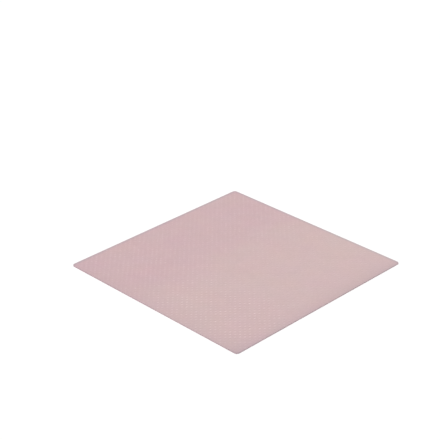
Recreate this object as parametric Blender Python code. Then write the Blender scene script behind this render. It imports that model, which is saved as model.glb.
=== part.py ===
"""A square thermal pad sheet: soft, ceramic-filled silicone that conducts heat.

The sheet is one moulded piece. It lies flat on its lower face, with its
centre on the Z axis and its sides along X and Y. Its outline is a square with
small round corners, and both rims are slightly rolled, as a die leaves them.
"""

import math

import bpy

# Driving dimensions, in metres
SHEET_WIDTH = 0.100
SHEET_LENGTH = 0.100
SHEET_THICKNESS = 0.0005
CORNER_RADIUS = 0.0015
RIM_RADIUS = 0.00006

# How finely the round stretches are drawn
CORNER_SEGMENTS = 10
RIM_SEGMENTS = 4

# The finish of the pink silicone
PAD_COLOUR = (0.64, 0.47, 0.48, 1.0)
PAD_ROUGHNESS = 0.55
PAD_METALLIC = 0.0


def clear_scene():
    """Removes what the opened file holds, so that only the sheet is left."""
    for old in list(bpy.data.objects):
        bpy.data.objects.remove(old)


def make_collection(name):
    """Adds a collection to the scene."""
    collection = bpy.data.collections.new(name)
    bpy.context.scene.collection.children.link(collection)
    return collection


def make_material(name, colour, roughness, metallic):
    """Makes a plain Principled material."""
    material = bpy.data.materials.new(name)
    material.use_nodes = True
    shader = material.node_tree.nodes["Principled BSDF"]
    shader.inputs["Base Color"].default_value = colour
    shader.inputs["Roughness"].default_value = roughness
    shader.inputs["Metallic"].default_value = metallic
    return material


def rounded_rectangle(width, length, radius, segments):
    """Points of a rectangle with round corners about the origin, counter-clockwise."""
    points = []
    for quarter in range(4):
        middle = math.radians(45 + 90 * quarter)
        centre_x = math.copysign(width / 2 - radius, math.cos(middle))
        centre_y = math.copysign(length / 2 - radius, math.sin(middle))
        for step in range(segments + 1):
            angle = math.radians(90 * (quarter + step / segments))
            points.append(
                (
                    centre_x + radius * math.cos(angle),
                    centre_y + radius * math.sin(angle),
                )
            )
    return points


def flat_plate(name, outline, thickness, rim_radius, rim_segments):
    """Makes a filled 2D curve of the outline, with rolled rims, centred on its own mid plane."""
    curve = bpy.data.curves.new(name, "CURVE")
    curve.dimensions = "2D"
    curve.fill_mode = "BOTH"
    spline = curve.splines.new("POLY")
    spline.points.add(len(outline) - 1)
    for point, (x, y) in zip(spline.points, outline):
        point.co = (x, y, 0.0, 1.0)
    spline.use_cyclic_u = True
    # The bevel grows outwards, so the offset takes the outline in by as much
    curve.extrude = thickness / 2 - rim_radius
    curve.bevel_depth = rim_radius
    curve.bevel_resolution = rim_segments - 1
    curve.offset = -rim_radius
    return bpy.data.objects.new(name, curve)


def make_pad_sheet(collection, material):
    """The sheet itself, lying with its lower face at Z = 0."""
    outline = rounded_rectangle(SHEET_WIDTH, SHEET_LENGTH, CORNER_RADIUS, CORNER_SEGMENTS)
    sheet = flat_plate("pad_sheet", outline, SHEET_THICKNESS, RIM_RADIUS, RIM_SEGMENTS)
    sheet.location.z = SHEET_THICKNESS / 2
    sheet.data.materials.append(material)
    collection.objects.link(sheet)
    return sheet


def main():
    """Builds the thermal pad sheet."""
    clear_scene()
    collection = make_collection("thermal_pad_sheet")
    silicone = make_material("pink_silicone", PAD_COLOUR, PAD_ROUGHNESS, PAD_METALLIC)
    make_pad_sheet(collection, silicone)


main()
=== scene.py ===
"""Looks of the thermal pad sheet: woven face, die-cut rim, smooth underside, studio and camera.

A pad like this is cast as a long web, between a woven liner above and a smooth
film below, and is then cut to a square with a die. The sheet is modelled in
that order: one cell of the weave is shaped, repeated into a web, laid askew as
the liner lay, cut along four sides and four round corners, and given its
rolled rims, its wall and its underside.
"""

import logging
import math
from dataclasses import dataclass, field
from enum import Enum

import bpy
from mathutils import Matrix, Vector


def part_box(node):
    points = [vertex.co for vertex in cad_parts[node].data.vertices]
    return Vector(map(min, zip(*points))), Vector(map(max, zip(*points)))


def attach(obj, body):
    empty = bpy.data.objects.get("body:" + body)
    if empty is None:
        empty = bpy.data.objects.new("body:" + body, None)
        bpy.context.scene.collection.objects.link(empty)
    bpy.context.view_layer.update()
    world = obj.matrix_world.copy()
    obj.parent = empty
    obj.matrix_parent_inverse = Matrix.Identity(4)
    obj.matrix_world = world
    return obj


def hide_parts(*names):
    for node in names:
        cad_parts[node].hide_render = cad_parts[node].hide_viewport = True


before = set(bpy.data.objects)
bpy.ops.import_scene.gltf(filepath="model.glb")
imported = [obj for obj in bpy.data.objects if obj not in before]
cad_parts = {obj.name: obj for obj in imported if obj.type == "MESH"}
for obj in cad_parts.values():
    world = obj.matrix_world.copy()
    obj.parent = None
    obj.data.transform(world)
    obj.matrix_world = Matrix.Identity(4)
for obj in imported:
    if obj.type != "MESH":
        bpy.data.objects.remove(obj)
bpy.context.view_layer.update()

LOG = logging.getLogger("thermal_pad_sheet")
MILLIMETRE = 0.001
PICTURE_SIDE = 440.0
CORNER_RADIUS = 1.5 * MILLIMETRE
THREADS_PER_CELL = 2
NOISE_SPAN = (0.3, 0.7)
WIDE_NOISE_SPAN = (0.25, 0.75)
WHITE = (1.0, 1.0, 1.0, 1.0)
ALONG_X = (1.0, 0.0, 0.0)
ALONG_Y = (0.0, 1.0, 0.0)

Span = tuple[float, float]
Colour = tuple[float, float, float, float]
Socket = bpy.types.NodeSocket


class Slot(Enum):
    """The record's material slots."""

    SILICONE = "pink_silicone"


class Surface(Enum):
    """The three kinds of surface that the sheet has, with their material indices."""

    WOVEN = 0
    CUT = 1
    FILM = 2


class Side(Enum):
    """The four cut sides, as outward directions in the plane of the sheet."""

    LEFT = (-1.0, 0.0)
    RIGHT = (1.0, 0.0)
    FRONT = (0.0, -1.0)
    BACK = (0.0, 1.0)


def start_mesh_edit(piece: bpy.types.Object) -> None:
    """Makes a piece the only selected one and opens its mesh for editing.

    Args:
        piece: the mesh object to edit.
    """
    bpy.ops.object.select_all(action="DESELECT")
    piece.select_set(True)
    bpy.context.view_layer.objects.active = piece
    bpy.ops.object.mode_set(mode="EDIT")
    bpy.ops.mesh.select_mode(type="VERT")


def end_mesh_edit() -> None:
    """Closes the mesh that is open for editing."""
    bpy.ops.object.mode_set(mode="OBJECT")


def apply_modifier(piece: bpy.types.Object, modifier: bpy.types.Modifier) -> None:
    """Applies one modifier to its piece's mesh.

    Args:
        piece: the object that has the modifier.
        modifier: the modifier to apply.
    """
    bpy.ops.object.select_all(action="DESELECT")
    piece.select_set(True)
    bpy.context.view_layer.objects.active = piece
    bpy.ops.object.modifier_apply(modifier=modifier.name)


@dataclass(frozen=True)
class ThreadCount:
    """How one count of threads grows over the sheet, with the skew and bow that the liner lay in.

    Places on the sheet are shares of its sides, from -0.5 to 0.5 each way. The
    count at a place is the one at the centre, what it gains from side to side
    along X and along Y, and what the bow adds.
    """

    at_centre: float
    along_x: float
    along_y: float
    bow_along_x: float
    bow_across: float
    bow_along_y: float

    def bow(self, x_share: float, y_share: float) -> float:
        """Counts how many threads the bow adds at a place.

        Args:
            x_share: the place along X.
            y_share: the place along Y.

        Returns:
            The threads that it adds.
        """
        along = self.bow_along_x * x_share**2 + self.bow_along_y * y_share**2
        return along + self.bow_across * x_share * y_share


@dataclass(frozen=True)
class LinerWeave:
    """The plain weave that the liner left in the upper face.

    Places in the weave are counted in threads: u grows along X and v along Y,
    and threads cross where both are whole numbers. At every other crossing the
    crown stands proud, and at the ones between it stays low.
    """

    u: ThreadCount = ThreadCount(
        at_centre=0.24,
        along_x=70.43,
        along_y=1.546,
        bow_along_x=-1.53,
        bow_across=0.44,
        bow_along_y=0.71,
    )
    v: ThreadCount = ThreadCount(
        at_centre=-0.036,
        along_x=0.341,
        along_y=72.28,
        bow_along_x=0.63,
        bow_across=-0.20,
        bow_along_y=-1.14,
    )
    proud_crown: float = 0.048 * MILLIMETRE
    low_crown_share: float = 0.12
    steps_per_thread: int = 4

    def relief(self, u: float, v: float) -> float:
        """Height of the relief over its pits, as a share of the proud crowns' height.

        Args:
            u: place along X, in threads.
            v: place along Y, in threads.

        Returns:
            A number from 0, in a pit, to 1, on a proud crown.
        """
        across = math.cos(math.pi * u)
        along = math.cos(math.pi * v)
        proud = max(across * along, 0.0) * abs(along)
        low = (abs(across) - across * along) / 2
        return max(proud, self.low_crown_share * low)

    def shares_at(self, u: float, v: float) -> Vector:
        """Finds where on the sheet a place in the weave lies.

        Args:
            u: place along X, in threads.
            v: place along Y, in threads.

        Returns:
            The place as shares of the sheet's sides. The bow is slight, so a few rounds settle it.
        """
        rounds = 3
        growth = Matrix(((self.u.along_x, self.u.along_y), (self.v.along_x, self.v.along_y)))
        straight = growth.inverted()
        from_centre = Vector((u - self.u.at_centre, v - self.v.at_centre))
        shares = straight @ from_centre
        for _ in range(rounds):
            shares = straight @ (from_centre - Vector((self.u.bow(*shares), self.v.bow(*shares))))
        return shares


@dataclass(frozen=True)
class CutOutline:
    """The die's outline: a square with round corners, about the Z axis."""

    width: float
    length: float
    corner_radius: float
    corner_steps: int = 10

    def planes(self) -> list[tuple[Vector, Vector]]:
        """The upright planes that the die cuts along.

        Returns:
            A point and an outward direction for each side, then for each step round the corners.
        """
        cuts = []
        for side in Side:
            outward = Vector((*side.value, 0.0))
            middle = Vector((outward.x * self.width / 2, outward.y * self.length / 2, 0.0))
            cuts.append((middle, outward))
        quarter = math.pi / 2
        chord_reach = self.corner_radius * math.cos(quarter / self.corner_steps / 2)
        for step in range(4 * self.corner_steps):
            angle = quarter * (step + 0.5) / self.corner_steps
            outward = Vector((math.cos(angle), math.sin(angle), 0.0))
            centre = Vector(
                (
                    math.copysign(self.width / 2 - self.corner_radius, outward.x),
                    math.copysign(self.length / 2 - self.corner_radius, outward.y),
                    0.0,
                )
            )
            cuts.append((centre + outward * chord_reach, outward))
        return cuts


@dataclass
class WovenPadSheet:
    """The sheet itself, one closed mesh from the woven face down to the smooth underside."""

    width: float
    length: float
    top: float
    weave: LinerWeave
    rim_radius: float = 0.06 * MILLIMETRE
    rim_steps: int = 3
    spare_threads: int = 2
    unevenness: float = 0.012 * MILLIMETRE
    unevenness_scale: float = 2.6 * MILLIMETRE
    unevenness_layers: int = 2
    name: str = "woven_pad_sheet"
    piece: bpy.types.Object = field(init=False)

    def build(self) -> bpy.types.Object:
        """Models the sheet.

        Returns:
            The finished mesh object, at the origin.
        """
        self.piece = self.shape_cell()
        self.repeat_into_web()
        self.lay_web_over_sheet()
        self.press_unevenly()
        self.die_cut()
        self.roll_rims()
        self.set_surfaces()
        return self.piece

    def shape_cell(self) -> bpy.types.Object:
        """Shapes one repeat of the weave, two threads wide and two threads long.

        Returns:
            The cell, with its first corner at the origin and one unit for each thread.
        """
        steps = THREADS_PER_CELL * self.weave.steps_per_thread
        bpy.ops.object.select_all(action="DESELECT")
        bpy.ops.mesh.primitive_grid_add(
            x_subdivisions=steps,
            y_subdivisions=steps,
            size=THREADS_PER_CELL,
            location=(THREADS_PER_CELL / 2, THREADS_PER_CELL / 2, 0.0),
        )
        bpy.ops.object.transform_apply(location=True, rotation=False, scale=False)
        cell = bpy.context.view_layer.objects.active
        cell.name = self.name
        cell.data.name = self.name
        digits = 4
        levels: dict[float, list[int]] = {}
        for vertex in cell.data.vertices:
            share = round(self.weave.relief(vertex.co.x, vertex.co.y), digits)
            levels.setdefault(share, []).append(vertex.index)
        for share, members in levels.items():
            self.raise_points(cell, members, (share - 1.0) * self.weave.proud_crown)
        return cell

    def raise_points(self, piece: bpy.types.Object, members: list[int], height: float) -> None:
        """Moves some of a mesh's points up or down.

        Args:
            piece: the mesh object.
            members: the points' indices.
            height: how far they move along Z.
        """
        start_mesh_edit(piece)
        bpy.ops.mesh.select_all(action="DESELECT")
        end_mesh_edit()
        for index in members:
            piece.data.vertices[index].select = True
        start_mesh_edit(piece)
        bpy.ops.transform.translate(value=(0.0, 0.0, height))
        end_mesh_edit()

    def web_cells(self) -> int:
        """Counts the cells that the web has each way, an even number a little past the sheet's reach."""
        threads = max(self.weave.u.along_x, self.weave.v.along_y) + 2 * self.spare_threads
        return 2 * math.ceil(threads / (2 * THREADS_PER_CELL))

    def repeat_into_web(self) -> None:
        """Repeats the cell both ways, a little further than the sheet reaches."""
        for step in ((THREADS_PER_CELL, 0.0, 0.0), (0.0, THREADS_PER_CELL, 0.0)):
            array = self.piece.modifiers.new("repeat", "ARRAY")
            array.count = self.web_cells()
            array.use_relative_offset = False
            array.use_constant_offset = True
            array.constant_offset_displace = step
            array.use_merge_vertices = True
            array.merge_threshold = 0.0001
            apply_modifier(self.piece, array)

    def lay_web_over_sheet(self) -> None:
        """Lays the web over the sheet's place, askew and bowed as the liner lay."""
        middle = self.web_cells() * THREADS_PER_CELL / 2
        for vertex in self.piece.data.vertices:
            shares = self.weave.shares_at(vertex.co.x - middle, vertex.co.y - middle)
            vertex.co.x = shares.x * self.width
            vertex.co.y = shares.y * self.length
            vertex.co.z += self.top

    def press_unevenly(self) -> None:
        """Lets the relief rise and sink a little from place to place, never over the crowns' height."""
        texture = bpy.data.textures.new("uneven_press", "CLOUDS")
        texture.noise_scale = self.unevenness_scale
        texture.noise_depth = self.unevenness_layers
        press = self.piece.modifiers.new("uneven_press", "DISPLACE")
        press.texture = texture
        press.texture_coords = "LOCAL"
        press.direction = "Z"
        press.mid_level = 1.0
        press.strength = self.unevenness
        apply_modifier(self.piece, press)
        bpy.data.textures.remove(texture)

    def die_cut(self) -> None:
        """Cuts the web to the sheet's outline, less the reach of the rolled rim."""
        outline = CutOutline(
            self.width - 2 * self.rim_radius,
            self.length - 2 * self.rim_radius,
            CORNER_RADIUS - self.rim_radius,
        )
        on_plane = 0.0001 * MILLIMETRE
        start_mesh_edit(self.piece)
        for point, outward in outline.planes():
            bpy.ops.mesh.select_all(action="SELECT")
            bpy.ops.mesh.bisect(plane_co=point, plane_no=outward, clear_outer=True, threshold=on_plane)
        end_mesh_edit()

    def widen_rim(self, old_reach: float, new_reach: float) -> None:
        """Draws the newly extruded rim edges outwards or inwards.

        Args:
            old_reach: how far the edges stand outside the die-cut line.
            new_reach: how far they are to stand outside it.
        """
        scales = []
        for side in (self.width, self.length):
            die_cut_half = side / 2 - self.rim_radius
            scales.append((die_cut_half + new_reach) / (die_cut_half + old_reach))
        bpy.ops.transform.resize(value=(*scales, 1.0), center_override=(0.0, 0.0, 0.0))

    def roll_rims(self) -> None:
        """Rolls the upper rim over, drops the wall, rolls the lower rim under and closes the underside."""
        start_mesh_edit(self.piece)
        bpy.ops.mesh.select_mode(type="EDGE")
        bpy.ops.mesh.select_all(action="DESELECT")
        bpy.ops.mesh.select_non_manifold(
            use_wire=False,
            use_boundary=True,
            use_multi_face=False,
            use_non_contiguous=False,
            use_verts=False,
        )
        angles = [math.pi / 2 * step / self.rim_steps for step in range(self.rim_steps + 1)]
        for old, new in zip(angles, angles[1:]):
            bpy.ops.mesh.extrude_edges_indiv()
            self.widen_rim(self.rim_radius * math.sin(old), self.rim_radius * math.sin(new))
            drop = self.rim_radius * (math.cos(old) - math.cos(new))
            bpy.ops.transform.translate(value=(0.0, 0.0, -drop))
        bpy.ops.mesh.extrude_edges_indiv()
        bpy.ops.transform.resize(value=(1.0, 1.0, 0.0), center_override=(0.0, 0.0, self.rim_radius))
        for old, new in zip(angles, angles[1:]):
            bpy.ops.mesh.extrude_edges_indiv()
            self.widen_rim(self.rim_radius * math.cos(old), self.rim_radius * math.cos(new))
            drop = self.rim_radius * (math.sin(new) - math.sin(old))
            bpy.ops.transform.translate(value=(0.0, 0.0, -drop))
        bpy.ops.mesh.edge_face_add()
        bpy.ops.mesh.select_all(action="SELECT")
        bpy.ops.mesh.normals_make_consistent(inside=False)
        end_mesh_edit()

    def set_surfaces(self) -> None:
        """Gives each face its kind of surface, and shades the round stretches smooth."""
        wall_slope = 0.5
        underside_slope = -0.999
        for face in self.piece.data.polygons:
            upward = face.normal.z
            if abs(upward) < wall_slope:
                face.material_index = Surface.CUT.value
            elif upward < 0.0:
                face.material_index = Surface.FILM.value
            face.use_smooth = upward > underside_slope


@dataclass
class NodeSheet:
    """Adds nodes to a node tree and joins them, each call one node."""

    tree: bpy.types.NodeTree

    def add(self, kind: str, **settings: object) -> bpy.types.Node:
        """Adds a node.

        Args:
            kind: the node's type name.
            **settings: the node's own settings, by their property names.

        Returns:
            The new node.
        """
        node = self.tree.nodes.new(kind)
        for name, value in settings.items():
            setattr(node, name, value)
        return node

    def feed(self, socket: Socket, value: object) -> None:
        """Joins a socket to another one, or sets its value.

        Args:
            socket: the input to feed.
            value: an output socket, or a plain value.
        """
        if isinstance(value, Socket):
            self.tree.links.new(value, socket)
        else:
            socket.default_value = value

    def math(self, operation: str, first: object, second: object = 0.0) -> Socket:
        """Works out a sum on one or two numbers.

        Args:
            operation: the Math node's operation.
            first: a number or an output socket.
            second: a number or an output socket.

        Returns:
            The result's socket.
        """
        node = self.add("ShaderNodeMath", operation=operation)
        self.feed(node.inputs[0], first)
        self.feed(node.inputs[1], second)
        return node.outputs[0]

    def dot(self, vector: Socket, direction: tuple[float, float, float]) -> Socket:
        """Measures a vector along a fixed direction.

        Args:
            vector: the vector's socket.
            direction: the direction, whose length scales the result.

        Returns:
            The result's socket.
        """
        node = self.add("ShaderNodeVectorMath", operation="DOT_PRODUCT")
        self.feed(node.inputs[0], vector)
        self.feed(node.inputs[1], direction)
        return node.outputs["Value"]

    def remap(self, value: object, old: Span, new: Span) -> Socket:
        """Maps a span of values smoothly to another.

        Args:
            value: a number or an output socket.
            old: where the old span starts and ends.
            new: what its start and its end become.

        Returns:
            The result's socket.
        """
        node = self.add("ShaderNodeMapRange", interpolation_type="SMOOTHSTEP")
        for name, number in zip(("From Min", "From Max", "To Min", "To Max"), (*old, *new)):
            node.inputs[name].default_value = number
        self.feed(node.inputs["Value"], value)
        return node.outputs["Result"]

    def noise(self, place: Socket, grain: float, detail: float, output: str = "Fac") -> Socket:
        """Adds a cloudy pattern.

        Args:
            place: the position's socket.
            grain: the size of its patches, in metres.
            detail: how many finer layers it has.
            output: Fac for one value, or Color for one in each channel.

        Returns:
            The pattern's socket, from 0 to 1 about one half.
        """
        node = self.add("ShaderNodeTexNoise")
        node.inputs["Scale"].default_value = 1.0 / grain
        node.inputs["Detail"].default_value = detail
        self.feed(node.inputs["Vector"], place)
        return node.outputs[output]

    def vary(self, noise: Socket, spread: float, middle: float = 1.0) -> Socket:
        """Makes a cloudy pattern a factor.

        Args:
            noise: the pattern's socket.
            spread: how far the factor goes either way, as a share of its middle.
            middle: the factor's middle.

        Returns:
            The factor's socket.
        """
        return self.remap(noise, NOISE_SPAN, (middle * (1.0 - spread), middle * (1.0 + spread)))

    def mix(
        self, share: object, first: object, second: object, blend: str = "MIX", clamp_factor: bool = True
    ) -> Socket:
        """Mixes two colours.

        Args:
            share: how much of the second colour.
            first: a colour or an output socket.
            second: a colour or an output socket.
            blend: the Mix node's blend type.
            clamp_factor: whether the share is kept between 0 and 1.

        Returns:
            The mixed colour's socket.
        """
        node = self.add("ShaderNodeMix", data_type="RGBA", blend_type=blend, clamp_factor=clamp_factor)
        colours = [socket for socket in node.inputs if socket.type == "RGBA"]
        self.feed(node.inputs["Factor"], share)
        self.feed(colours[0], first)
        self.feed(colours[1], second)
        return next(socket for socket in node.outputs if socket.type == "RGBA")


@dataclass
class PatternGroup:
    """A shader node group that reads a position and puts out patterns."""

    name: str
    values: tuple[str, ...]
    colours: tuple[str, ...] = ()
    tree: bpy.types.NodeTree = field(init=False)
    nodes: NodeSheet = field(init=False)
    position: Socket = field(init=False)
    results: bpy.types.Node = field(init=False)

    def __post_init__(self) -> None:
        """Makes the group with its named outputs."""
        self.tree = bpy.data.node_groups.new(self.name, "ShaderNodeTree")
        self.tree.interface.new_socket(name="Position", in_out="INPUT", socket_type="NodeSocketVector")
        for name in self.values:
            self.tree.interface.new_socket(name=name, in_out="OUTPUT", socket_type="NodeSocketFloat")
        for name in self.colours:
            self.tree.interface.new_socket(name=name, in_out="OUTPUT", socket_type="NodeSocketColor")
        self.nodes = NodeSheet(self.tree)
        self.position = self.nodes.add("NodeGroupInput").outputs["Position"]
        self.results = self.nodes.add("NodeGroupOutput")

    def give(self, name: str, value: Socket) -> None:
        """Sends a value out of the group.

        Args:
            name: the output's name.
            value: the socket that has the value.
        """
        self.tree.links.new(value, self.results.inputs[name])


@dataclass(frozen=True)
class Quarters:
    """A value for each quarter of the sheet, which blend softly into each other."""

    front_left: float
    front_right: float
    back_left: float
    back_right: float


@dataclass(frozen=True)
class Patterns:
    """The sheet's shared patterns, each one node group."""

    width: float
    length: float
    weave: LinerWeave
    filaments_per_thread: float = 5.0
    speck_spacing: float = 0.55 * MILLIMETRE
    speck_size: float = 0.06 * MILLIMETRE
    speck_core: float = 0.5
    grain_size: float = 0.09 * MILLIMETRE
    fleck_size: float = 0.7 * MILLIMETRE
    mottle_size: float = 5.0 * MILLIMETRE
    cloud_size: float = 34.0 * MILLIMETRE
    cloud_waver: float = 0.3
    # The painted light fall-off: the colour turns darker and pinker towards the back and the left.
    cooling_places: Span = (-0.1, 0.27)
    cooling: Span = (0.25, 0.75)
    rightward_cooling: float = -0.12
    patch_size: float = 14.0 * MILLIMETRE
    patchiness: float = 0.075
    glint_patch_size: float = 4.0 * MILLIMETRE
    glint_spread: float = 0.6
    crown_spread: float = 0.35
    spot_sharpness: float = 1.6
    # Reach of the painted shade along the front and left margins.
    front_margin: float = 3.8 * MILLIMETRE
    left_margin: float = 6.5 * MILLIMETRE
    left_share: tuple[float, float, float] = (0.5, 0.0, -0.45)
    margin_patches: Span = (0.8, 1.2)
    rim_core: float = 0.35 * MILLIMETRE
    rim_width: float = 1.15 * MILLIMETRE
    rim_shift: Span = (0.5 * MILLIMETRE, 0.6 * MILLIMETRE)
    # Painted highlight: crown_lift lightens each proud crown as a glint; flank_loss paints shade on the pit
    # beside it, paler where below 0.
    crown_lift: Quarters = Quarters(
        front_left=0.170, front_right=0.045, back_left=0.092, back_right=0.068
    )
    flank_loss: Quarters = Quarters(
        front_left=0.062, front_right=0.032, back_left=-0.018, back_right=-0.014
    )
    flank_shift: Span = (-0.4, -0.5)
    left_to_right: Span = (-0.3, 0.0)
    front_to_back: Span = (-0.2, 0.2)

    def relief(self, nodes: NodeSheet, u: Socket, v: Socket) -> tuple[Socket, Socket]:
        """Works out the weave's relief as LinerWeave.relief does.

        Args:
            nodes: the group's nodes.
            u: place along X, in threads.
            v: place along Y, in threads.

        Returns:
            The proud crowns' and the low crowns' heights, as shares of the proud crowns' full height.
        """
        across = nodes.math("COSINE", nodes.math("MULTIPLY", u, math.pi))
        along = nodes.math("COSINE", nodes.math("MULTIPLY", v, math.pi))
        product = nodes.math("MULTIPLY", across, along)
        proud = nodes.math("MULTIPLY", nodes.math("MAXIMUM", product, 0.0), nodes.math("ABSOLUTE", along))
        low = nodes.math("SUBTRACT", nodes.math("ABSOLUTE", across), product)
        return proud, nodes.math("MULTIPLY", low, self.weave.low_crown_share / 2)

    def shares(self, group: PatternGroup) -> tuple[Socket, Socket]:
        """Measures the place on the sheet as shares of its sides.

        Args:
            group: the group that gets them.

        Returns:
            The shares along X and along Y, from -0.5 to 0.5.
        """
        x_share = group.nodes.dot(group.position, (1.0 / self.width, 0.0, 0.0))
        y_share = group.nodes.dot(group.position, (0.0, 1.0 / self.length, 0.0))
        return x_share, y_share

    def thread_count(self, group: PatternGroup, count: ThreadCount) -> Socket:
        """Counts the threads at the place that is being shaded.

        Args:
            group: the group that gets the count.
            count: how it grows.

        Returns:
            The count's socket.
        """
        nodes = group.nodes
        x_share, y_share = self.shares(group)
        straight = nodes.dot(group.position, (count.along_x / self.width, count.along_y / self.length, 0.0))
        total = nodes.math("ADD", straight, count.at_centre)
        for first, second, bow in (
            (x_share, x_share, count.bow_along_x),
            (y_share, y_share, count.bow_along_y),
            (x_share, y_share, count.bow_across),
        ):
            product = nodes.math("MULTIPLY", first, second)
            total = nodes.math("ADD", total, nodes.math("MULTIPLY", product, bow))
        return total

    def blend(self, group: PatternGroup, quarters: Quarters) -> Socket:
        """Builds a value that changes softly from quarter to quarter of the sheet.

        Args:
            group: the group that gets it.
            quarters: its values.

        Returns:
            The value's socket.
        """
        nodes = group.nodes
        x_share, y_share = self.shares(group)
        front = nodes.remap(x_share, self.left_to_right, (quarters.front_left, quarters.front_right))
        back = nodes.remap(x_share, self.left_to_right, (quarters.back_left, quarters.back_right))
        backward = nodes.remap(y_share, self.front_to_back, (0.0, 1.0))
        gain = nodes.math("MULTIPLY", nodes.math("SUBTRACT", back, front), backward)
        return nodes.math("ADD", front, gain)

    def slope(self, group: PatternGroup, values: tuple[float, float, float]) -> Socket:
        """Builds a value that changes evenly over the sheet.

        Args:
            group: the group that gets it.
            values: its value at the centre, and its gain from side to side along X and along Y.

        Returns:
            The value's socket.
        """
        centre, along_x, along_y = values
        tilt = group.nodes.dot(group.position, (along_x / self.width, along_y / self.length, 0.0))
        return group.nodes.math("ADD", tilt, centre)

    def random_spot_strength(self, nodes: NodeSheet, u: Socket, v: Socket) -> Socket:
        """Gives each crossing of the weave a random strength of its own, for the painted glints and painted
        shade on it.

        Args:
            nodes: the group's nodes.
            u: place along X, in threads.
            v: place along Y, in threads.

        Returns:
            A value about 1, the same all over each crossing.
        """
        crossing = nodes.add("ShaderNodeCombineXYZ")
        nodes.feed(crossing.inputs["X"], nodes.math("ROUND", u))
        nodes.feed(crossing.inputs["Y"], nodes.math("ROUND", v))
        chance = nodes.add("ShaderNodeTexWhiteNoise", noise_dimensions="2D")
        nodes.feed(chance.inputs["Vector"], crossing.outputs["Vector"])
        spread = nodes.math("MULTIPLY", chance.outputs["Value"], 2 * self.crown_spread)
        return nodes.math("ADD", spread, 1.0 - self.crown_spread)

    def spots(self, nodes: NodeSheet, u: Socket, v: Socket) -> Socket:
        """Builds a spot on each proud crown, with a strength of its own, which carries the painted glint
        and, shifted beside the crown, the painted shade.

        Args:
            nodes: the group's nodes.
            u: place along X, in threads.
            v: place along Y, in threads.

        Returns:
            The spots' socket.
        """
        proud, _ = self.relief(nodes, u, v)
        spot = nodes.math("POWER", proud, self.spot_sharpness)
        return nodes.math("MULTIPLY", spot, self.random_spot_strength(nodes, u, v))

    def imprint(self) -> bpy.types.NodeTree:
        """Builds the weave's pattern, in step with the modelled relief.

        The crowns carry a painted highlight, a glint paler than the pits, and the pit beside each
        carries painted shade, darker at the front and paler at the back. Their strengths are set
        quarter by quarter over the sheet and vary in random patches.

        Returns:
            A group with the outputs Relief, from 0 to 1, Lift, the share of painted glint to add, which
            is below 0 where painted shade darkens the sheet, and Filaments, from -1 to 1.
        """
        group = PatternGroup("liner_imprint", ("Relief", "Lift", "Filaments"))
        nodes = group.nodes
        u = self.thread_count(group, self.weave.u)
        v = self.thread_count(group, self.weave.v)
        proud, low = self.relief(nodes, u, v)
        group.give("Relief", nodes.math("MAXIMUM", proud, low))
        # Painted glints on the proud crowns, and painted shade on the pits beside them.
        crowns = self.spots(nodes, u, v)
        shifted_u, shifted_v = (nodes.math("ADD", count, by) for count, by in zip((u, v), self.flank_shift))
        flanks = self.spots(nodes, shifted_u, shifted_v)
        lift = nodes.math("MULTIPLY", crowns, self.blend(group, self.crown_lift))
        loss = nodes.math("MULTIPLY", flanks, self.blend(group, self.flank_loss))
        # Random patches in the strength of the painted glints and shade.
        patches = nodes.noise(group.position, self.glint_patch_size, detail=1.0)
        press = nodes.vary(patches, self.glint_spread)
        group.give("Lift", nodes.math("MULTIPLY", nodes.math("SUBTRACT", lift, loss), press))
        turn = 2 * math.pi * self.filaments_per_thread
        proud_lines = nodes.math("SINE", nodes.math("MULTIPLY", v, turn))
        low_lines = nodes.math("SINE", nodes.math("MULTIPLY", u, turn))
        on_proud = nodes.math("MULTIPLY", proud, proud_lines)
        on_low = nodes.math("MULTIPLY", low, low_lines)
        group.give("Filaments", nodes.math("ADD", on_proud, on_low))
        return group.tree

    def filler(self) -> bpy.types.NodeTree:
        """Builds the ceramic filler's pattern.

        Returns:
            A group with the outputs Specks, Shade, Flecks and Grain, each from 0 to 1.
        """
        group = PatternGroup("ceramic_filler", ("Specks", "Shade", "Flecks", "Grain"))
        nodes = group.nodes
        cells = nodes.add("ShaderNodeTexVoronoi", feature="F1")
        cells.inputs["Scale"].default_value = 1.0 / self.speck_spacing
        nodes.feed(cells.inputs["Vector"], group.position)
        reach = self.speck_size / self.speck_spacing
        fade = (self.speck_core * reach, reach)
        group.give("Specks", nodes.remap(cells.outputs["Distance"], fade, (1.0, 0.0)))
        shade = nodes.add("ShaderNodeSeparateColor")
        nodes.feed(shade.inputs["Color"], cells.outputs["Color"])
        group.give("Shade", shade.outputs["Red"])
        group.give("Flecks", nodes.noise(group.position, self.fleck_size, detail=1.0))
        group.give("Grain", nodes.noise(group.position, self.grain_size, detail=3.0))
        return group.tree

    def drift(self) -> bpy.types.NodeTree:
        """Builds the painted light fall-off, a darker, pinker colour towards the back and the left that
        wavers in random clouds, and the batch's random mottle and tint patches.

        Returns:
            A group with the outputs Cool, the share of the painted light fall-off, which grows towards the
            back, Mottle, from 0 to 1, and
            Tint, a colour close to white.
        """
        group = PatternGroup("light_falloff_and_batch_tint", ("Cool", "Mottle"), ("Tint",))
        nodes = group.nodes
        rightward, backward = self.shares(group)
        clouds = nodes.math("SUBTRACT", nodes.noise(group.position, self.cloud_size, detail=1.0), 0.5)
        wavering = nodes.math("ADD", backward, nodes.math("MULTIPLY", clouds, self.cloud_waver))
        cool = nodes.remap(wavering, self.cooling_places, self.cooling)
        gain = nodes.math("MULTIPLY", rightward, self.rightward_cooling)
        group.give("Cool", nodes.math("ADD", cool, gain))
        group.give("Mottle", nodes.noise(group.position, self.mottle_size, detail=2.0))
        patches = nodes.noise(group.position, self.patch_size, detail=3.0, output="Color")
        neutral = (1.0 - self.patchiness / 2,) * 3 + (1.0,)
        group.give("Tint", nodes.mix(self.patchiness, neutral, patches, "ADD"))
        return group.tree

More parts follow.
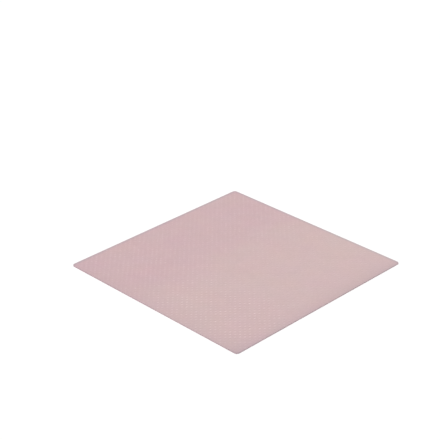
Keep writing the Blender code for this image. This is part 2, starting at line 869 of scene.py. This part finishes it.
    def margin(self) -> bpy.types.NodeTree:
        """Builds the painted margin shade, which darkens the sheet a little next to its front and left cut
        sides.

        Returns:
            A group with one output, the painted shade, from 0 inside the sheet to 1 at the front side.
        """
        group = PatternGroup("painted_margin_shade", ("MarginShade",))
        nodes = group.nodes
        fades = []
        for direction, size, margin in (
            (ALONG_Y, self.length, self.front_margin),
            (ALONG_X, self.width, self.left_margin),
        ):
            inward = nodes.math("ADD", nodes.dot(group.position, direction), size / 2)
            fades.append(nodes.math("EXPONENT", nodes.math("MULTIPLY", inward, -1.0 / margin)))
        front, left = fades
        both = nodes.math("ADD", front, nodes.math("MULTIPLY", left, self.slope(group, self.left_share)))
        mottle = nodes.noise(group.position, self.mottle_size, detail=2.0)
        patches = nodes.remap(mottle, WIDE_NOISE_SPAN, self.margin_patches)
        group.give("MarginShade", nodes.math("MULTIPLY", both, patches))
        return group.tree

    def rim(self) -> bpy.types.NodeTree:
        """Builds the thin darker, greyer line along the cut sides, widest along the back and right sides.

        Returns:
            A group with the output Rim, from 1 at the outline to 0 a rim's width inside it.
        """
        group = PatternGroup("cut_rim", ("Rim",))
        nodes = group.nodes
        x_shift, y_shift = self.rim_shift
        reaches = []
        for direction, size, shift in (
            (ALONG_X, self.width, x_shift),
            (ALONG_Y, self.length, y_shift),
        ):
            place = nodes.math("ADD", nodes.dot(group.position, direction), shift)
            distance = nodes.math("ABSOLUTE", place)
            reaches.append(nodes.math("SUBTRACT", distance, size / 2 - CORNER_RADIUS))
        squares = [nodes.math("POWER", nodes.math("MAXIMUM", reach, 0.0), 2.0) for reach in reaches]
        round_reach = nodes.math("SQRT", nodes.math("ADD", *squares))
        straight_reach = nodes.math("MINIMUM", nodes.math("MAXIMUM", *reaches), 0.0)
        reach = nodes.math("ADD", round_reach, straight_reach)
        fade = (CORNER_RADIUS - self.rim_width, CORNER_RADIUS - self.rim_core)
        group.give("Rim", nodes.remap(reach, fade, (0.0, 1.0)))
        return group.tree


@dataclass(frozen=True)
class SiliconeFinish:
    """One finish of the pink silicone. It is woven where it has an imprint."""

    name: str
    shared: dict[str, bpy.types.NodeTree]
    imprint: bpy.types.NodeTree | None = None
    # The lighter front colour and the darker, pinker back colour of the painted light fall-off.
    warm: Colour = (0.616, 0.464, 0.453, 1.0)
    cool: Colour = (0.583, 0.400, 0.424, 1.0)
    # Tint of the painted margin shade.
    margin_shade_tint: Colour = (0.895, 0.90, 0.935, 1.0)
    rim_tint: Colour = (0.885, 0.945, 0.97, 1.0)
    # Colour of the painted glints on the crowns, and how much of them the painted margin shade takes away.
    painted_glint: Colour = (0.49, 0.46, 0.465, 1.0)
    glint_loss_in_margin_shade: float = 0.6
    base_shade: float = 1.0
    mottling: float = 0.01
    flecking: float = 0.02
    speck_colour: Colour = (0.80, 0.70, 0.70, 1.0)
    dark_speck_colour: Colour = (0.40, 0.26, 0.27, 1.0)
    dark_specks: Span = (0.55, 0.75)
    speck_share: float = 0.35
    roughness: float = 0.5
    crown_roughness: float = 0.48
    crown_tops: Span = (0.3, 1.0)
    wear: float = 0.05
    grain_depth: float = 0.006 * MILLIMETRE
    filament_depth: float = 0.004 * MILLIMETRE
    refraction: float = 1.41

    def build(self) -> bpy.types.Material:
        """Makes the finish's material.

        Returns:
            The new material.
        """
        material = bpy.data.materials.new(self.name)
        material.use_nodes = True
        nodes = NodeSheet(material.node_tree)
        shader = material.node_tree.nodes["Principled BSDF"]
        place = nodes.add("ShaderNodeTexCoord").outputs["Object"]
        found = {name: self.place_group(nodes, tree, place) for name, tree in self.shared.items()}
        colour = self.add_silicone(nodes, found)
        roughness = self.roughness
        height = nodes.math("MULTIPLY", found["filler"].outputs["Grain"], self.grain_depth)
        if self.imprint:
            found["imprint"] = self.place_group(nodes, self.imprint, place)
            # Painted glints on the crowns and painted shade beside them.
            colour = self.add_painted_glints(nodes, found, colour)
            relief = found["imprint"].outputs["Relief"]
            roughness = nodes.remap(relief, self.crown_tops, (self.roughness, self.crown_roughness))
            lines = nodes.math("MULTIPLY", found["imprint"].outputs["Filaments"], self.filament_depth)
            height = nodes.math("ADD", height, lines)
        nodes.feed(shader.inputs["Base Color"], self.add_specks(nodes, found["filler"], colour))
        wear = nodes.remap(found["filler"].outputs["Grain"], NOISE_SPAN, (-self.wear, self.wear))
        nodes.feed(shader.inputs["Roughness"], nodes.math("ADD", roughness, wear))
        shader.inputs["IOR"].default_value = self.refraction
        bump = nodes.add("ShaderNodeBump")
        bump.inputs["Distance"].default_value = 1.0
        nodes.feed(bump.inputs["Height"], height)
        nodes.feed(shader.inputs["Normal"], bump.outputs["Normal"])
        return material

    def place_group(self, nodes: NodeSheet, tree: bpy.types.NodeTree, place: Socket) -> bpy.types.Node:
        """Places one shared pattern in the material.

        Args:
            nodes: the material's nodes.
            tree: the pattern's group.
            place: the position's socket.

        Returns:
            The group's node.
        """
        node = nodes.add("ShaderNodeGroup", node_tree=tree)
        nodes.feed(node.inputs["Position"], place)
        return node

    def add_silicone(self, nodes: NodeSheet, found: dict[str, bpy.types.Node]) -> Socket:
        """Mixes the silicone's own colour, with its painted light fall-off and tint drift, its painted
        margin shade and its rim.

        Args:
            nodes: the material's nodes.
            found: the pattern nodes by name.

        Returns:
            The colour's socket.
        """
        # Painted light fall-off towards the back and the left, then random tint patches.
        colour = nodes.mix(found["drift"].outputs["Cool"], self.warm, self.cool)
        colour = nodes.mix(1.0, colour, found["drift"].outputs["Tint"], "MULTIPLY")
        # Painted shade along the front and left margins, also on the front wall.
        margin_shade = found["margin"].outputs["MarginShade"]
        colour = nodes.mix(margin_shade, colour, self.margin_shade_tint, "MULTIPLY", clamp_factor=False)
        mottle = nodes.vary(found["drift"].outputs["Mottle"], self.mottling, self.base_shade)
        flecks = nodes.vary(found["filler"].outputs["Flecks"], self.flecking)
        shade = nodes.math("MULTIPLY", mottle, flecks)
        grey = nodes.add("ShaderNodeCombineColor")
        for channel in ("Red", "Green", "Blue"):
            nodes.feed(grey.inputs[channel], shade)
        colour = nodes.mix(1.0, colour, grey.outputs["Color"], "MULTIPLY")
        return nodes.mix(found["rim"].outputs["Rim"], colour, self.rim_tint, "MULTIPLY")

    def add_painted_glints(self, nodes: NodeSheet, found: dict[str, bpy.types.Node], colour: Socket) -> Socket:
        """Adds the painted glints on the crowns and the painted shade beside them, both fainter in the
        painted margin shade.

        Args:
            nodes: the material's nodes.
            found: the pattern nodes by name.
            colour: the colour's socket.

        Returns:
            The colour's socket, with the painted glints and shade.
        """
        glint_taken_by_margin_shade = nodes.math("MULTIPLY", found["margin"].outputs["MarginShade"], self.glint_loss_in_margin_shade)
        kept = nodes.math("SUBTRACT", 1.0, glint_taken_by_margin_shade)
        lift = nodes.math("MULTIPLY", found["imprint"].outputs["Lift"], kept)
        return nodes.mix(lift, colour, self.painted_glint, "ADD", clamp_factor=False)

    def add_specks(self, nodes: NodeSheet, filler: bpy.types.Node, colour: Socket) -> Socket:
        """Lays the ceramic specks over the colour.

        Args:
            nodes: the material's nodes.
            filler: the ceramic filler's node.
            colour: the colour's socket.

        Returns:
            The speckled colour's socket.
        """
        dark = nodes.remap(filler.outputs["Shade"], self.dark_specks, (0.0, 1.0))
        speck = nodes.mix(dark, self.speck_colour, self.dark_speck_colour)
        cover = nodes.math("MULTIPLY", filler.outputs["Specks"], self.speck_share)
        return nodes.mix(cover, colour, speck)


@dataclass(frozen=True)
class SeamlessPaper:
    """The floor's finish: plain white paper."""

    name: str = "seamless_paper"
    colour: Colour = (0.97, 0.97, 0.97, 1.0)
    roughness: float = 0.9

    def build(self) -> bpy.types.Material:
        """Makes the paper's material.

        Returns:
            The new material.
        """
        material = bpy.data.materials.new(self.name)
        material.use_nodes = True
        shader = material.node_tree.nodes["Principled BSDF"]
        shader.inputs["Base Color"].default_value = self.colour
        shader.inputs["Roughness"].default_value = self.roughness
        shader.inputs["Specular IOR Level"].default_value = 0.0
        return material


@dataclass
class Studio:
    """The pale floor and the soft light around the sheet."""

    floor_side: float = 12.0
    floor_drop: float = 0.02 * MILLIMETRE
    ambient: float = 0.42
    key_strength: float = 2.08
    key_towards: tuple[float, float, float] = (-0.2, 0.0, 1.0)
    key_softness: float = 50.0

    def build(self) -> None:
        """Sets up the floor, the light and the way that light becomes colour."""
        self.add_floor()
        self.add_ambient()
        self.add_key()
        settings = bpy.context.scene.view_settings
        settings.view_transform = "Standard"
        settings.look = "None"

    def add_floor(self) -> None:
        """Adds the floor just under the sheet."""
        bpy.ops.object.select_all(action="DESELECT")
        bpy.ops.mesh.primitive_plane_add(size=self.floor_side, location=(0.0, 0.0, -self.floor_drop))
        floor = bpy.context.view_layer.objects.active
        floor.name = "studio_floor"
        floor.data.materials.append(SeamlessPaper().build())

    def add_ambient(self) -> None:
        """Fills the surroundings with even light, and shows them as white past the floor's edge."""
        world = bpy.data.worlds.new("white_surround")
        world.use_nodes = True
        nodes = NodeSheet(world.node_tree)
        background = world.node_tree.nodes["Background"]
        background.inputs["Color"].default_value = WHITE
        seen = nodes.add("ShaderNodeLightPath").outputs["Is Camera Ray"]
        nodes.feed(background.inputs["Strength"], nodes.math("MAXIMUM", seen, self.ambient))
        bpy.context.scene.world = world

    def add_key(self) -> None:
        """Adds the large soft light, high over the sheet."""
        bpy.ops.object.select_all(action="DESELECT")
        bpy.ops.object.light_add(type="SUN", location=(0.0, 0.0, 1.0))
        lamp = bpy.context.view_layer.objects.active
        lamp.name = "soft_key"
        lamp.data.energy = self.key_strength
        lamp.data.angle = math.radians(self.key_softness)
        lamp.rotation_euler = Vector(self.key_towards).to_track_quat("Z", "Y").to_euler()


@dataclass
class PictureCamera:
    """The camera at the photograph's place, found from the sheet's four edges."""

    sheet_side: float
    azimuth: float = math.radians(-44.496)
    elevation: float = math.radians(27.681)
    roll: float = math.radians(-0.633)
    focal_pixels: float = 1380.6
    distance_in_sides: float = 5.957
    right_in_sides: float = -0.0677
    up_in_sides: float = 0.192
    sensor: float = 36.0
    nearest: float = 0.01
    farthest: float = 100.0

    def build(self) -> bpy.types.Object:
        """Makes the scene's camera.

        Returns:
            The camera object.
        """
        level_right = Vector((math.cos(self.azimuth), math.sin(self.azimuth), 0.0))
        level_back = Vector((math.sin(self.azimuth), -math.cos(self.azimuth), 0.0))
        back = math.cos(self.elevation) * level_back + Vector((0.0, 0.0, math.sin(self.elevation)))
        level_up = back.cross(level_right)
        right = math.cos(self.roll) * level_right + math.sin(self.roll) * level_up
        up = back.cross(right)
        data = bpy.data.cameras.new("picture_camera")
        data.sensor_width = self.sensor
        data.lens = self.sensor * self.focal_pixels / PICTURE_SIDE
        data.clip_start = self.nearest
        data.clip_end = self.farthest
        camera = bpy.data.objects.new("picture_camera", data)
        bpy.context.scene.collection.objects.link(camera)
        place = back * self.distance_in_sides + right * self.right_in_sides + up * self.up_in_sides
        turn = Matrix((right, up, back)).transposed().to_4x4()
        camera.matrix_world = Matrix.Translation(place * self.sheet_side) @ turn
        bpy.context.scene.camera = camera
        return camera


def dress(piece: bpy.types.Object, patterns: Patterns) -> None:
    """Gives the sheet its three finishes, in the order of Surface.

    Args:
        piece: the sheet.
        patterns: the shared patterns' maker.
    """
    shared = {
        "filler": patterns.filler(),
        "drift": patterns.drift(),
        "margin": patterns.margin(),
        "rim": patterns.rim(),
    }
    finishes = {
        Surface.WOVEN: SiliconeFinish("woven_silicone", shared, patterns.imprint(), roughness=0.62),
        Surface.CUT: SiliconeFinish(
            "cut_silicone",
            shared,
            rim_tint=(1.045, 1.0, 1.04, 1.0),
            base_shade=0.985,
            speck_share=0.6,
            roughness=0.78,
            grain_depth=0.02 * MILLIMETRE,
        ),
        Surface.FILM: SiliconeFinish(
            "film_side_silicone",
            shared,
            roughness=0.38,
            grain_depth=0.002 * MILLIMETRE,
        ),
    }
    for surface in Surface:
        piece.data.materials.append(finishes[surface].build())


def main() -> None:
    """Builds the camera, the studio and the sheet, and reports each piece."""
    logging.basicConfig(level=logging.INFO, format="%(name)s: %(message)s")
    low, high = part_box("pad_sheet")
    width, length = high.x - low.x, high.y - low.y
    PictureCamera(sheet_side=width).build()
    Studio().build()
    weave = LinerWeave()
    sheet = WovenPadSheet(width=width, length=length, top=high.z, weave=weave).build()
    dress(sheet, Patterns(width=width, length=length, weave=weave))
    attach(sheet, "root")
    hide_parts("pad_sheet")
    triangles = sum(len(face.vertices) - 2 for face in sheet.data.polygons)
    LOG.info("%s: %d triangles, three finishes, rides on root", sheet.name, triangles)


if __name__ == "__main__":
    main()
